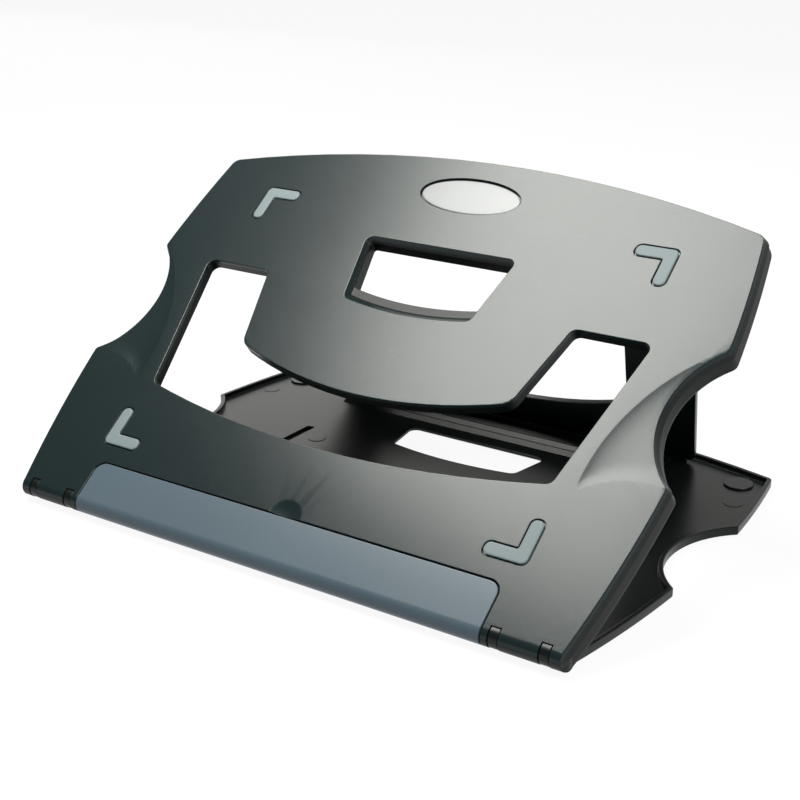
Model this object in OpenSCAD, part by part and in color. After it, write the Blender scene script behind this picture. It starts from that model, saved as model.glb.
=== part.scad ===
// Folding ventilated laptop riser: a bowed deck hinged along its front edge to a flat tray,
// held up by a U-shaped prop whose foot stands behind a row of ratchet teeth.
// The deck's own plan has x across, v from the hinge axis towards the back edge, and
// t upwards from the axis, square to the deck.

/* [Deck] */
// Widest width of the top face, between the crests of its bowed sides
deck_w = 333; // [322:1:350]
// Length of the top face from the hinge axis to the middle of the back edge
deck_l = 241.5; // [238:0.5:256]
// Angle of the deck above the table
deck_angle = 36.8; // [33:0.1:40]
// Radius of the bowed sides
side_bow = 590; // [520:10:800]
// Radius of the bowed back edge
back_bow = 590; // [480:10:800]
// Radius of the two back corners
back_corner_r = 5; // [3:0.5:8]
// Thickness of the top plate
plate_t = 3; // [2.6:0.1:3.4]
// Depth of the rim, measured from the top face
rim_depth = 11.6; // [10.8:0.1:12]
// Wall of the rim
rim_t = 2.4; // [1.8:0.1:2.6]
// How far the foot of the rim stands outside the top face
rim_flare = 2; // [1:0.1:2.6]
// Depth of the sloping upper band of the rim
rim_slope_depth = 5.2; // [3:0.1:6.5]

/* [Hand scoops] */
// Distance of the scoops from the hinge axis
scoop_v = 118.5; // [112:0.5:124]
// Radius of a scoop
scoop_r = 47; // [40:1:52]
// How far a scoop cuts into the side
scoop_depth = 18.2; // [14:0.1:21]
// Radius of the points at the ends of a scoop
scoop_tip_r = 2.6; // [2.2:0.1:4]
// Radius of the shallow thumb dish beside a scoop
dish_r = 50; // [44:1:52]
// Greatest depth of the ball that cuts the thumb dish
dish_depth = 3; // [2:0.1:3.2]
// Distance of the thumb dish's centre from the hinge axis
dish_v = 101; // [97:0.5:106]
// Distance of the thumb dish's centre outside the crest of the side
dish_out = 8; // [4:0.5:12]
// Where the thumb dish ends towards the front
dish_front_v = 77; // [74:0.5:82]
// Slope of the thumb dish's front end
dish_ramp = 9; // [6:0.5:14]

/* [Deck windows] */
// Width of the U-shaped window at its rear edge
window_w = 262.4; // [256:0.2:268]
// Width of the U-shaped window at its front edge
window_front_w = 232; // [226:0.5:240]
// Distance of the U-shaped window's rear edge from the back edge of the deck
window_back = 90.5; // [85.5:0.5:93.5]
// Front corners of the U-shaped window
window_front_v = 71; // [66:0.5:76]
// How far the front edge of the U-shaped window bows forward
window_front_bow = 12.5; // [8:0.5:16]
// Width of the tongue where it leaves the deck
tongue_w = 181; // [172:0.5:190]
// Width of the tongue at its tip
tongue_tip_w = 158; // [150:0.5:166]
// Distance of the corners of the tongue's tip from the back edge of the deck
tongue_back = 136.5; // [131.5:0.5:141.5]
// How far the tip of the tongue bows forward
tongue_bow = 14; // [9:0.5:16]
// Radius of the window corners
window_corner_r = 4; // [3:0.5:6]
// Width of the grip window at its rear edge
grip_w = 90; // [80:0.5:96]
// Width of the grip window at its front edge
grip_front_w = 75; // [68:0.5:80]
// Distance of the grip window's rear edge from the back edge of the deck
grip_back = 57.5; // [53.5:0.5:61.5]
// Length of the grip window from its rear edge to its front corners
grip_l = 40; // [34:0.5:44]
// How far the front edge of the grip window bows forward
grip_bow = 3.8; // [2:0.1:6]
// How far the front wall of the grip window slopes back on its way down
grip_slope = 9.5; // [6:0.5:10.5]
// Depth of the skirt round the U-shaped window, from the top face
window_skirt_depth = 6.6; // [5:0.1:6.8]
// Depth of the skirt round the grip window, from the top face
grip_skirt_depth = 9; // [7:0.1:9.6]
// Wall of the window skirts
skirt_t = 1.8; // [1.4:0.1:2.4]

/* [Front hinge] */
// Radius of the rolled front edge
roll_r = 5.4; // [5:0.1:5.8]
// Radius of the steel pins
pin_r = 1.5; // [1.2:0.05:1.7]
// Width of a hinge lug of the base
lug_w = 4.6; // [4:0.1:5.2]
// Radius of a hinge lug of the base
lug_r = 4.8; // [4.4:0.1:4.9]
// Width of the deck's knuckle beside the flap
knuckle_w = 3.2; // [2.6:0.1:4]
// Width of the deck's closed end outside the outer lug
end_cap_w = 4.8; // [4:0.1:6]
// Depth of the pin's blind end in the closed end
cap_bore = 2.6; // [2:0.1:3]
// Depth of the pin's bore in the end of the flap
flap_bore = 10; // [7:0.5:14]

/* [Stop flap] */
// Width of the stop flap
flap_w = 233; // [226:0.5:240]
// Length of the stop flap from the hinge axis to its rear edge
flap_l = 20.8; // [18:0.1:24]
// Thickness of the stop flap
flap_t = 2.8; // [2.2:0.1:3]
// Radius of the stop flap's rear corners
flap_corner_r = 5.5; // [3:0.5:7]
// Wall of the flap's hollow front roll
flap_roll_t = 2; // [1.6:0.1:2.4]
// Length of the solid ends of the flap's front roll
flap_end_w = 14; // [12:0.5:20]
// Radius of the finger dish behind the flap
finger_r = 9.5; // [8:0.5:11]
// Depth of the finger dish
finger_depth = 1.6; // [1:0.1:1.8]

/* [Grip pads and badge] */
// Distance of the pads' outer edges inside the crest of the deck's side
pad_in = 44.1; // [40.5:0.1:48.5]
// Front edge of the front pads
pad_front_v = 31.4; // [29:0.2:35]
// Distance of the rear pads from the back edge of the deck
pad_back = 36.9; // [33.5:0.1:41.5]
// Length of a pad's arms
pad_arm = 21.5; // [18:0.5:24]
// Width of a pad's arms
pad_w = 6.2; // [5:0.1:7]
// Depth of a pad's pocket
pad_pocket = 1.2; // [0.8:0.1:1.4]
// How far a pad stands above the top face
pad_proud = 0.4; // [0.2:0.1:0.8]
// Width of the oval badge plate
badge_w = 58; // [52:0.5:62]
// Height of the oval badge plate
badge_h = 21.6; // [18:0.2:23]
// Distance of the badge plate's centre from the back edge of the deck
badge_back = 23.1; // [20.5:0.1:27.5]
// Depth of the badge's pocket
badge_pocket = 1.5; // [1.1:0.1:1.7]
// Thickness of the badge plate
badge_t = 0.9; // [0.6:0.1:1]

/* [Base tray] */
// Height of the hinge axis above the underside of the tray
axis_h = 6.3; // [6:0.1:7]
// Height of the tray's rim
tray_h = 4.5; // [4:0.1:5]
// Thickness of the tray's floor
floor_t = 1.8; // [1.5:0.1:2]
// Wall of the tray's rim
tray_wall = 2.4; // [1.8:0.1:3]
// How far the tray lies inside the deck's top face all round
tray_inset = 1.5; // [1.1:0.1:2.5]
// Front edge of the tray behind the hinge axis
tray_front_y = 7; // [6.5:0.1:9]
// Width of the tray's window at its rear edge
vent_w = 86; // [78:0.5:92]
// Width of the tray's window at its front edge
vent_front_w = 77; // [70:0.5:80]
// Distance of the rear edge of the tray's window from the back edge of the deck's plan
vent_back = 59.5; // [57.5:0.5:61.5]
// Length of the tray's window from its rear edge to its front corners
vent_l = 26; // [22:0.5:32]
// How far the front edge of the tray's window bows forward
vent_bow = 4; // [2:0.5:6]
// Distance of the narrow floor slots from the middle
slot_x = 91; // [86:0.5:95]
// Width of a floor slot
slot_w = 4.2; // [3:0.1:5]
// Length of a floor slot
slot_l = 42; // [30:1:50]
// Distance of a floor slot's rear end from the back edge of the deck's plan
slot_back = 91.5; // [87.5:0.5:95.5]

/* [Rubber feet] */
// Radius of a rubber foot
foot_r = 6.5; // [5.5:0.1:7]
// Thickness of a rubber foot
foot_t = 2; // [1.7:0.1:2.2]
// How far a foot stands out of the tray
foot_out = 0.8; // [0.5:0.1:1]
// Distance of the feet's centres inside the crest of the deck's side
foot_in = 24; // [21.5:0.5:28.5]
// Distance of the front feet from the hinge axis
foot_front_y = 28; // [24:0.5:34]
// Distance of the rear feet from the back edge of the deck's plan
foot_back = 33.5; // [30.5:0.5:37.5]
// Height of the round bosses over the feet, above the tray's floor
boss_h = 1; // [0.4:0.1:1.4]
// Width of the wall of a boss round its foot
boss_wall = 1.2; // [0.8:0.1:2]

/* [Ratchet and prop] */
// Number of ratchet teeth
tooth_count = 4; // [2:1:4]
// Distance between ratchet teeth
tooth_pitch = 7.5; // [6.5:0.1:8]
// Height of a ratchet tooth
tooth_h = 1.8; // [1.2:0.1:2]
// How far the ratchet teeth end inside each end of the prop's foot
tooth_in = 12; // [9:0.5:22]
// Distance of the last tooth's upright face from the back edge of the deck's plan
tooth_back = 22.8; // [21:0.1:25]
// Distance of the prop's pivot from the back edge of the deck
pivot_back = 53.5; // [47.5:0.5:59.5]
// Depth of the prop's pivot below the hinge axis, square to the deck
pivot_drop = 3.15; // [3:0.05:3.3]
// Thickness of the prop
prop_t = 3.2; // [2.8:0.1:3.3]
// Distance of the ends of the prop's foot inside the crest of the deck's side
prop_in = 54.5; // [50.5:0.5:58.5]
// Lean of the prop's sides away from upright
prop_splay = 10.5; // [8:0.1:12]
// Width of a prop leg
leg_w = 39; // [34:0.5:42]
// Height of the prop's cross bar in the middle
bar_h = 23.5; // [20:0.5:28]
// How far the top edge of the cross bar dips in the middle
bar_bow = 16; // [12:0.5:18]
// Radius of the prop's pivot barrels
barrel_r = 2.9; // [2.6:0.05:3]
// Width of a pivot ear under the deck
ear_w = 4.4; // [3.6:0.1:5]

/* [Clearances] */
// Radial clearance of the pins in their bores
run_fit = 0.05; // [0.02:0.01:0.1]
// Gap beside and round the moving knuckles and lugs
hinge_gap = 0.4; // [0.3:0.05:0.6]
// Gap round the flap in its recess
flap_gap = 0.7; // [0.5:0.05:1]
// Gap under the flap, and between the foot of the prop and the floor
rest_gap = 0.15; // [0.1:0.05:0.25]
// Gap round the pads, the badge and the feet in their pockets
pocket_gap = 0.15; // [0.05:0.05:0.25]
// Gap between the foot of the prop and the tooth in front of it
tooth_gap = 2.3; // [2.2:0.1:2.8]

/* [Hidden] */

$fn = 64;
deck_colour = [0.16, 0.18, 0.18];
tray_colour = [0.10, 0.11, 0.11];
slate_colour = [0.40, 0.46, 0.51];
steel_colour = [0.72, 0.73, 0.74];
badge_colour = [0.90, 0.91, 0.91];
rubber_colour = [0.06, 0.06, 0.06];

// Overshoot of a cut past the face that it opens
past = 1;
// Steps along the bowed edges, round the scoops and round a corner
bow_steps = 8;
scoop_steps = 28;
corner_steps = 6;
oval_steps = 72;
hollow_steps = 8;

// The hinge axis in the part's own frame, whose origin is on the table under the middle
tray_l = deck_l - tray_inset;
hinge_y = (roll_r - tray_l) / 2;
hinge_z = foot_out + axis_h;

// Places measured from the deck's back edge and from the crest of its side
half_w = deck_w / 2;
window_rear_v = deck_l - window_back;
tongue_tip_v = deck_l - tongue_back;
grip_rear_v = deck_l - grip_back;
grip_front_v = grip_rear_v - grip_l;
pad_x = half_w - pad_in;
pad_rear_v = deck_l - pad_back;
badge_v = deck_l - badge_back;
vent_rear_y = deck_l - vent_back;
vent_front_y = vent_rear_y - vent_l;
slot_rear_y = deck_l - slot_back;
foot_x = half_w - foot_in;
foot_rear_y = deck_l - foot_back;
tooth_last_y = deck_l - tooth_back;
pivot_v = deck_l - pivot_back;
prop_foot_w = 2 * (half_w - prop_in);
tooth_l = prop_foot_w - 2 * tooth_in;

// Levels along t in the deck and along z in the tray, both from the hinge axis
plate_b = roll_r - plate_t;
rim_b = roll_r - rim_depth;
recess_t = roll_r - flap_t - rest_gap;
shelf_b = 0;
tray_b = -axis_h;
floor_top = tray_b + floor_t;
tray_top = tray_b + tray_h;

function unit(d) = d / norm(d);
function bearing(p, c) = atan2(p[1] - c[1], p[0] - c[0]);
function flipped(pts) = [for (i = [len(pts) - 1:-1:0]) [-pts[i][0], pts[i][1]]];
function arc(c, r, a, b, n) = [for (i = [0:n]) c + r * [cos(a + (b - a) * i / n), sin(a + (b - a) * i / n)]];

// The crossing of two circles, on the left of the line between their centres if side is 1
function crossing(c0, r0, c1, r1, side) =
    let (d = norm(c1 - c0))
    let (a = (r0 * r0 - r1 * r1 + d * d) / (2 * d))
    let (h = sqrt(r0 * r0 - a * a))
    let (u = unit(c1 - c0))
    c0 + a * u + side * h * [-u[1], u[0]];

// The round that takes the place of corner b between the points a and c
function round_corner(a, b, c, r) =
    let (u = unit(a - b))
    let (w = unit(c - b))
    let (half = acos(u * w) / 2)
    let (centre = b + unit(u + w) * r / sin(half))
    let (s = bearing(b + u * r / tan(half), centre))
    let (e = bearing(b + w * r / tan(half), centre))
    arc(centre, r, s, s + (e - s + 540) % 360 - 180, corner_steps);

// A closed outline from corners [x, y, radius]
function rounded(c) = [
    for (i = [0:len(c) - 1])
        let (a = c[(i + len(c) - 1) % len(c)])
        let (b = c[i])
        let (n = c[(i + 1) % len(c)])
        each (b[2] > 0 ? round_corner([a[0], a[1]], [b[0], b[1]], [n[0], n[1]], b[2]) : [[b[0], b[1]]])
];

// Points of a shallow bow from a to b that stands out by the given height, to the right of a to b
function bow(a, b, height, n) = [
    for (i = [1:n - 1])
        let (u = 2 * i / n - 1)
        let (d = unit(b - a))
        a + (b - a) * i / n + [d[1], -d[0]] * height * (1 - u * u)
];

// An outline that runs anticlockwise, moved outwards by d
function grown(p, d) = [
    for (i = [0:len(p) - 1])
        let (a = unit(p[i] - p[(i + len(p) - 1) % len(p)]))
        let (b = unit(p[(i + 1) % len(p)] - p[i]))
        let (m = [a[1] + b[1], -a[0] - b[0]])
        p[i] + d * m / (1 + a * b)
];

// The deck's plan, grown by g and starting at v0
side_c = [half_w - side_bow, scoop_v];
back_c = [0, deck_l - back_bow];
scoop_c = [half_w - scoop_depth + scoop_r, scoop_v];
least_r = 0.5;
function side_x(v, g) = side_c[0] + sqrt(pow(side_bow + g, 2) - pow(v - scoop_v, 2));
function side_run(p0, p1, g) = arc(side_c, side_bow + g, bearing(p0, side_c), bearing(p1, side_c), bow_steps);
function inner(p) = [for (i = [1:len(p) - 2]) p[i]];
function half_outline(g, v0) =
    let (front = crossing(side_c, side_bow + g, scoop_c, scoop_r - g, -1))
    let (rear = crossing(side_c, side_bow + g, scoop_c, scoop_r - g, 1))
    let (back = crossing(side_c, side_bow + g, back_c, back_bow + g, 1))
    let (run_a = side_run([side_x(v0, g), v0], front, g))
    let (front_a = bearing(front, scoop_c) + 360)
    let (run_b = arc(scoop_c, scoop_r - g, front_a, bearing(rear, scoop_c), scoop_steps))
    let (run_c = side_run(rear, back, g))
    let (run_d = arc(back_c, back_bow + g, bearing(back, back_c), 90, bow_steps))
    let (tip_r = max(scoop_tip_r + g, least_r))
    let (corner_r = max(back_corner_r + g, least_r))
    concat(
        [run_a[0]],
        inner(run_a),
        round_corner(run_a[bow_steps - 1], front, run_b[1], tip_r),
        inner(run_b),
        round_corner(run_b[scoop_steps - 1], rear, run_c[1], tip_r),
        inner(run_c),
        round_corner(run_c[bow_steps - 1], back, run_d[1], corner_r),
        inner(run_d)
    );
function outline(g, v0) = concat(half_outline(g, v0), [[0, deck_l + g]], flipped(half_outline(g, v0)));
front_half = side_x(0, 0);
rim_outline = outline(rim_flare, 0);
tray_outline = outline(-tray_inset, tray_front_y);
tray_inside = outline(-tray_inset - tray_wall, tray_front_y + tray_wall);

// Windows of the deck and the tray
function swept_window(w, front_w, rear, front, bow_h, r) =
    let (a = [-front_w / 2, front])
    let (b = [front_w / 2, front])
    rounded(concat(
        [[a[0], a[1], r]],
        [for (p = bow(a, b, bow_h, 2 * bow_steps)) [p[0], p[1], 0]],
        [[b[0], b[1], r], [w / 2, rear, r], [-w / 2, rear, r]]
    ));
function u_window() =
    let (a = [-window_front_w / 2, window_front_v])
    let (b = [window_front_w / 2, window_front_v])
    let (c = [tongue_tip_w / 2, tongue_tip_v])
    let (d = [-tongue_tip_w / 2, tongue_tip_v])
    let (r = window_corner_r)
    rounded(concat(
        [[a[0], a[1], r]],
        [for (p = bow(a, b, window_front_bow, 2 * bow_steps)) [p[0], p[1], 0]],
        [[b[0], b[1], r], [window_w / 2, window_rear_v, r]],
        [[tongue_w / 2, window_rear_v, r], [c[0], c[1], 2 * r]],
        [for (p = bow(c, d, -tongue_bow, 2 * bow_steps)) [p[0], p[1], 0]],
        [[d[0], d[1], 2 * r], [-tongue_w / 2, window_rear_v, r], [-window_w / 2, window_rear_v, r]]
    ));
u_outline = u_window();
grip_outline = swept_window(grip_w, grip_front_w, grip_rear_v, grip_front_v, grip_bow, window_corner_r);
vent_outline = swept_window(vent_w, vent_front_w, vent_rear_y, vent_front_y, vent_bow, window_corner_r);

// The flap's plan, the pads' plan and the badge's plan
function flap_plan(gap) =
    let (w = flap_w / 2 + gap)
    let (r = flap_corner_r + gap)
    rounded([[-w, -roll_r - past, 0], [w, -roll_r - past, 0], [w, flap_l + gap, r], [-w, flap_l + gap, r]]);
function pad_plan() =
    let (r = pad_w / 2 - 0.01)
    rounded([
        [0, 0, r], [0, -pad_arm, r], [pad_w, -pad_arm, r], [pad_w, -pad_w, 0.4],
        [pad_arm, -pad_w, r], [pad_arm, 0, r]
    ]);
pad_outline = [for (i = [len(pad_plan()) - 1:-1:0]) [-pad_plan()[i][0], pad_plan()[i][1]]];
badge_outline = [
    for (i = [0:oval_steps - 1])
        let (a = i * 360 / oval_steps)
        [cos(a) * badge_w, sin(a) * badge_h] / 2
];

// Hinge stations along x on the right-hand side
inner_lug_x = flap_w / 2 + flap_gap + knuckle_w + hinge_gap;
outer_lug_x = front_half - end_cap_w - hinge_gap - lug_w;
lug_stations = [inner_lug_x, outer_lug_x];
hinge_pin_x0 = flap_w / 2 - flap_bore + hinge_gap;
hinge_pin_x1 = front_half - end_cap_w + cap_bore - hinge_gap;

// The prop, from its foot on the tray to its pivot under the deck
tilt = [cos(deck_angle), sin(deck_angle)];
prop_pivot = [pivot_v * tilt[0] + pivot_drop * tilt[1], pivot_v * tilt[1] - pivot_drop * tilt[0]];
foot_half = prop_t / 2;
prop_foot = [tooth_last_y + tooth_gap + foot_half, floor_top + rest_gap + foot_half];
prop_l = norm(prop_pivot - prop_foot);
prop_lean = atan2(prop_foot[0] - prop_pivot[0], prop_pivot[1] - prop_foot[1]);
leg_out_top = prop_foot_w / 2 + prop_l * tan(prop_splay);
leg_in_top = leg_out_top - leg_w;
leg_in_bar = leg_in_top - (prop_l - bar_h - bar_bow) * tan(prop_splay);
prop_corner_r = 5;
ear_in_x = leg_in_top - hinge_gap - ear_w - (barrel_r + foot_half) * tan(prop_splay);
ear_out_x = leg_out_top + hinge_gap;

module on_hinge() { translate([0, hinge_y, hinge_z]) children(); }
module on_deck() { on_hinge() rotate([deck_angle, 0, 0]) children(); }
module on_prop() {
    on_hinge() translate([0, prop_foot[0], prop_foot[1]]) rotate([90 + prop_lean, 0, 0]) children();
}
module both_sides() {
    children();
    mirror([1, 0, 0]) children();
}
module level(plan, low, high) { translate([0, 0, low]) linear_extrude(height = high - low) polygon(plan); }
module bar_x(x0, x1, r) { translate([x0, 0, 0]) rotate([0, 90, 0]) cylinder(h = x1 - x0, r = r); }

// A solid through a pile of rings [outline, level], low to high, all of equally many points
module stacked(rings) {
    n = len(rings[0][0]);
    m = (len(rings) - 1) * n;
    points = [for (r = rings) for (p = r[0]) [p[0], p[1], r[1]]];
    faces = concat(
        [[for (i = [0:n - 1]) i]],
        [[for (i = [n - 1:-1:0]) m + i]],
        [for (k = [0:n:m - n]) for (i = [0:n - 1]) [k + i, k + n + i, k + (i + 1) % n]],
        [for (k = [0:n:m - n]) for (i = [0:n - 1]) [k + (i + 1) % n, k + n + i, k + n + (i + 1) % n]]
    );
    polyhedron(points, faces);
}

// Deck: moulded plate with a rim, skirts round its windows, a rolled front edge and pivot ears
module deck_shell() {
    thick_v = flap_l + flap_gap + plate_t;
    slope_b = roll_r - rim_slope_depth;
    top_g = -rim_flare * past / rim_slope_depth;
    difference() {
        intersection() {
            stacked([[rim_outline, rim_b - past], [rim_outline, slope_b], [outline(top_g, 0), roll_r + past]]);
            translate([-deck_w, -past, rim_b]) cube([2 * deck_w, 2 * deck_l, rim_depth]);
        }
        level(outline(rim_flare - rim_t, thick_v), rim_b - past, plate_b);
        level(outline(rim_flare - rim_t, -past), rim_b - past, shelf_b);
    }
}
module window_skirt(outline, depth) { level(grown(outline, skirt_t), roll_r - depth, plate_b + plate_t / 2); }
// A shallow round cut with a hollow floor, sunk into the top face
module hollow_cut(r, depth) {
    ball_r = (r * r + depth * depth) / (2 * depth);
    sweep = asin(r / ball_r) / hollow_steps;
    floor_run = [for (i = [0:hollow_steps]) [ball_r * sin(i * sweep), ball_r * (1 - cos(i * sweep)) - depth]];
    translate([0, 0, roll_r]) rotate_extrude() polygon(concat(floor_run, [[r, past], [0, past]]));
}
module grip_hole() {
    low = swept_window(grip_w, grip_front_w, grip_rear_v, grip_front_v + grip_slope, grip_bow, window_corner_r);
    low_t = roll_r - grip_skirt_depth;
    stacked([[low, low_t - past], [low, low_t], [grip_outline, roll_r], [grip_outline, roll_r + past]]);
}
module thumb_dish() {
    difference() {
        translate([half_w + dish_out, dish_v, 0]) hollow_cut(dish_r, dish_depth);
        translate([0, dish_front_v, roll_r]) rotate([-dish_ramp, 0, 0])
            translate([0, -2 * dish_r, -2 * dish_r]) cube([deck_w, 6 * dish_r, 2 * dish_r]);
    }
}
module finger_dish() { translate([0, flap_l, 0]) hollow_cut(finger_r, finger_depth); }
module pad_places() {
    for (side = [0, 1]) {
        mirror([side, 0, 0]) translate([pad_x, pad_rear_v, 0]) children();
        mirror([side, 0, 0]) translate([pad_x, pad_front_v, 0]) mirror([0, 1, 0]) children();
    }
}
module pivot_ears() {
    for (x = [ear_in_x, ear_out_x]) {
        translate([0, pivot_v, -pivot_drop]) bar_x(x, x + ear_w, barrel_r);
        translate([x, pivot_v - barrel_r, -pivot_drop])
            cube([ear_w, 2 * barrel_r, pivot_drop + plate_b + plate_t / 2]);
    }
}
module deck_plate() {
    cap_end = front_half + rim_flare / 2;
    color(deck_colour) on_deck() difference() {
        union() {
            deck_shell();
            window_skirt(u_outline, window_skirt_depth);
            window_skirt(grip_outline, grip_skirt_depth);
            both_sides() bar_x(flap_w / 2 + flap_gap, cap_end, roll_r);
            both_sides() pivot_ears();
        }
        level(u_outline, rim_b - past, roll_r + past);
        grip_hole();
        level(flap_plan(flap_gap), recess_t, roll_r + past);
        bar_x(-flap_w / 2 - flap_gap, flap_w / 2 + flap_gap, roll_r + hinge_gap);
        both_sides() for (x = lug_stations) bar_x(x - hinge_gap, x + lug_w + hinge_gap, roll_r + hinge_gap);
        both_sides() bar_x(flap_w / 2, front_half - end_cap_w + cap_bore, pin_r + run_fit);
        both_sides() translate([0, pivot_v, -pivot_drop])
            bar_x(ear_in_x - past, ear_out_x + ear_w + past, pin_r + run_fit);
        both_sides() thumb_dish();
        finger_dish();
        pad_places() level(grown(pad_outline, pocket_gap), roll_r - pad_pocket, roll_r + past);
        translate([0, badge_v, 0])
            level(grown(badge_outline, pocket_gap), roll_r - badge_pocket, roll_r + past);
    }
}

// Pins: drawn steel, fixed in the deck
module hinge_pin() { color(steel_colour) on_deck() bar_x(hinge_pin_x0, hinge_pin_x1, pin_r); }
module hinge_pin_left() { mirror([1, 0, 0]) hinge_pin(); }
module hinge_pin_right() { hinge_pin(); }
module prop_pin() {
    color(steel_colour) on_deck() translate([0, pivot_v, -pivot_drop])
        bar_x(ear_in_x, ear_out_x + ear_w, pin_r);
}
module prop_pin_left() { mirror([1, 0, 0]) prop_pin(); }
module prop_pin_right() { prop_pin(); }

// Grip pads: L-shaped inlays, one near each corner
module rear_pad() {
    color(slate_colour) on_deck() translate([pad_x, pad_rear_v, 0])
        level(pad_outline, roll_r - pad_pocket, roll_r + pad_proud);
}
module front_pad() {
    color(slate_colour) on_deck() translate([pad_x, pad_front_v, 0]) mirror([0, 1, 0])
        level(pad_outline, roll_r - pad_pocket, roll_r + pad_proud);
}
module grip_pad_front_left() { mirror([1, 0, 0]) front_pad(); }
module grip_pad_front_right() { front_pad(); }
module grip_pad_rear_left() { mirror([1, 0, 0]) rear_pad(); }
module grip_pad_rear_right() { rear_pad(); }

// Badge plate: a plain oval set a little below the top face
module badge_plate() {
    color(badge_colour) on_deck() translate([0, badge_v, 0])
        level(badge_outline, roll_r - badge_pocket, roll_r - badge_pocket + badge_t);
}

// Stop flap: flush in the deck's front edge, turning on the hinge pins
module stop_flap() {
    hollow_half = flap_w / 2 - flap_end_w;
    hollow_r = roll_r - flap_roll_t;
    color(slate_colour) on_deck() difference() {
        union() {
            intersection() {
                level(flap_plan(0), roll_r - flap_t, roll_r);
                translate([-flap_w / 2, 0, 0]) cube([flap_w, 2 * flap_l, 2 * roll_r]);
            }
            bar_x(-flap_w / 2, flap_w / 2, roll_r);
        }
        difference() {
            union() {
                bar_x(-hollow_half, hollow_half, hollow_r);
                translate([-hollow_half, 0, -roll_r - past])
                    cube([2 * hollow_half, roll_r + past, roll_r + past]);
            }
            translate([-flap_w, 0, roll_r - flap_t]) cube([2 * flap_w, flap_l, flap_t]);
        }
        both_sides() bar_x(flap_w / 2 - flap_bore, flap_w / 2 + past, pin_r + run_fit);
    }
}

// Base tray: floor, rim, hinge lugs, ratchet teeth, window, slots and pockets for the feet
module foot_places() {
    for (y = [foot_front_y, foot_rear_y]) both_sides() translate([foot_x, y, 0]) children();
}
module lug() {
    arm_end = tray_front_y + tray_wall;
    bar_x(0, lug_w, lug_r);
    rotate([90, 0, 90]) linear_extrude(height = lug_w)
        polygon([
            [0, tray_top], [0, -lug_r / 2], [tray_front_y, tray_b],
            [arm_end, tray_b], [arm_end, tray_top]
        ]);
}
module tooth() {
    rotate([90, 0, 90]) translate([0, 0, -tooth_l / 2]) linear_extrude(height = tooth_l)
        polygon([[-tooth_pitch + past, -past], [0, -past], [0, tooth_h], [-past, tooth_h]]);
}
module base_tray() {
    boss_r = foot_r + boss_wall;
    boss_top = floor_top + boss_h;
    color(tray_colour) on_hinge() difference() {
        union() {
            difference() {
                level(tray_outline, tray_b, tray_top);
                level(tray_inside, floor_top, tray_top + past);
            }
            both_sides() for (x = lug_stations) translate([x, 0, 0]) lug();
            foot_places() translate([0, 0, tray_b]) cylinder(h = boss_top - tray_b, r = boss_r);
            for (i = [0:tooth_count - 1]) translate([0, tooth_last_y - i * tooth_pitch, floor_top]) tooth();
        }
        level(vent_outline, tray_b - past, tray_top + past);
        both_sides() translate([slot_x - slot_w / 2, slot_rear_y - slot_l, tray_b - past])
            cube([slot_w, slot_l, tray_h + 2 * past]);
        foot_places() translate([0, 0, tray_b - past])
            cylinder(h = foot_t - foot_out + past, r = foot_r + pocket_gap);
        both_sides() for (x = lug_stations) bar_x(x - past, x + lug_w + past, pin_r + run_fit);
    }
}

// Rubber feet: discs pressed into the tray's pockets
module rubber_foot(y) {
    color(rubber_colour) on_hinge() translate([foot_x, y, tray_b - foot_out]) cylinder(h = foot_t, r = foot_r);
}
module rubber_foot_front_left() { mirror([1, 0, 0]) rubber_foot(foot_front_y); }
module rubber_foot_front_right() { rubber_foot(foot_front_y); }
module rubber_foot_rear_left() { mirror([1, 0, 0]) rubber_foot(foot_rear_y); }
module rubber_foot_rear_right() { rubber_foot(foot_rear_y); }

// Prop frame: two splayed legs and a cross bar with a dipped top edge
function prop_plan() =
    let (a = [leg_in_bar, bar_h + bar_bow])
    let (b = [-leg_in_bar, bar_h + bar_bow])
    let (r = prop_corner_r)
    rounded(concat(
        [[-prop_foot_w / 2, 0, r], [prop_foot_w / 2, 0, r], [leg_out_top, prop_l, 0], [leg_in_top, prop_l, 0]],
        [[a[0], a[1], r]],
        [for (p = bow(a, b, -bar_bow, 2 * bow_steps)) [p[0], p[1], 0]],
        [[b[0], b[1], r], [-leg_in_top, prop_l, 0], [-leg_out_top, prop_l, 0]]
    ));
module prop_frame() {
    foot_bar = prop_foot_w / 2 - prop_corner_r;
    color(tray_colour) on_prop() difference() {
        union() {
            level(prop_plan(), -foot_half, foot_half);
            bar_x(-foot_bar, foot_bar, foot_half);
            both_sides() translate([0, prop_l, 0]) bar_x(leg_in_top, leg_out_top, barrel_r);
        }
        both_sides() translate([0, prop_l, 0]) bar_x(leg_in_top - past, leg_out_top + past, pin_r + run_fit);
    }
}

base_tray();
rubber_foot_front_left();
rubber_foot_front_right();
rubber_foot_rear_left();
rubber_foot_rear_right();
deck_plate();
hinge_pin_left();
hinge_pin_right();
prop_pin_left();
prop_pin_right();
grip_pad_front_left();
grip_pad_front_right();
grip_pad_rear_left();
grip_pad_rear_right();
badge_plate();
stop_flap();
prop_frame();
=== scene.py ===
import math

import bmesh
import bpy
from mathutils import Matrix, Quaternion, Vector
from mathutils.geometry import delaunay_2d_cdt


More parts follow.
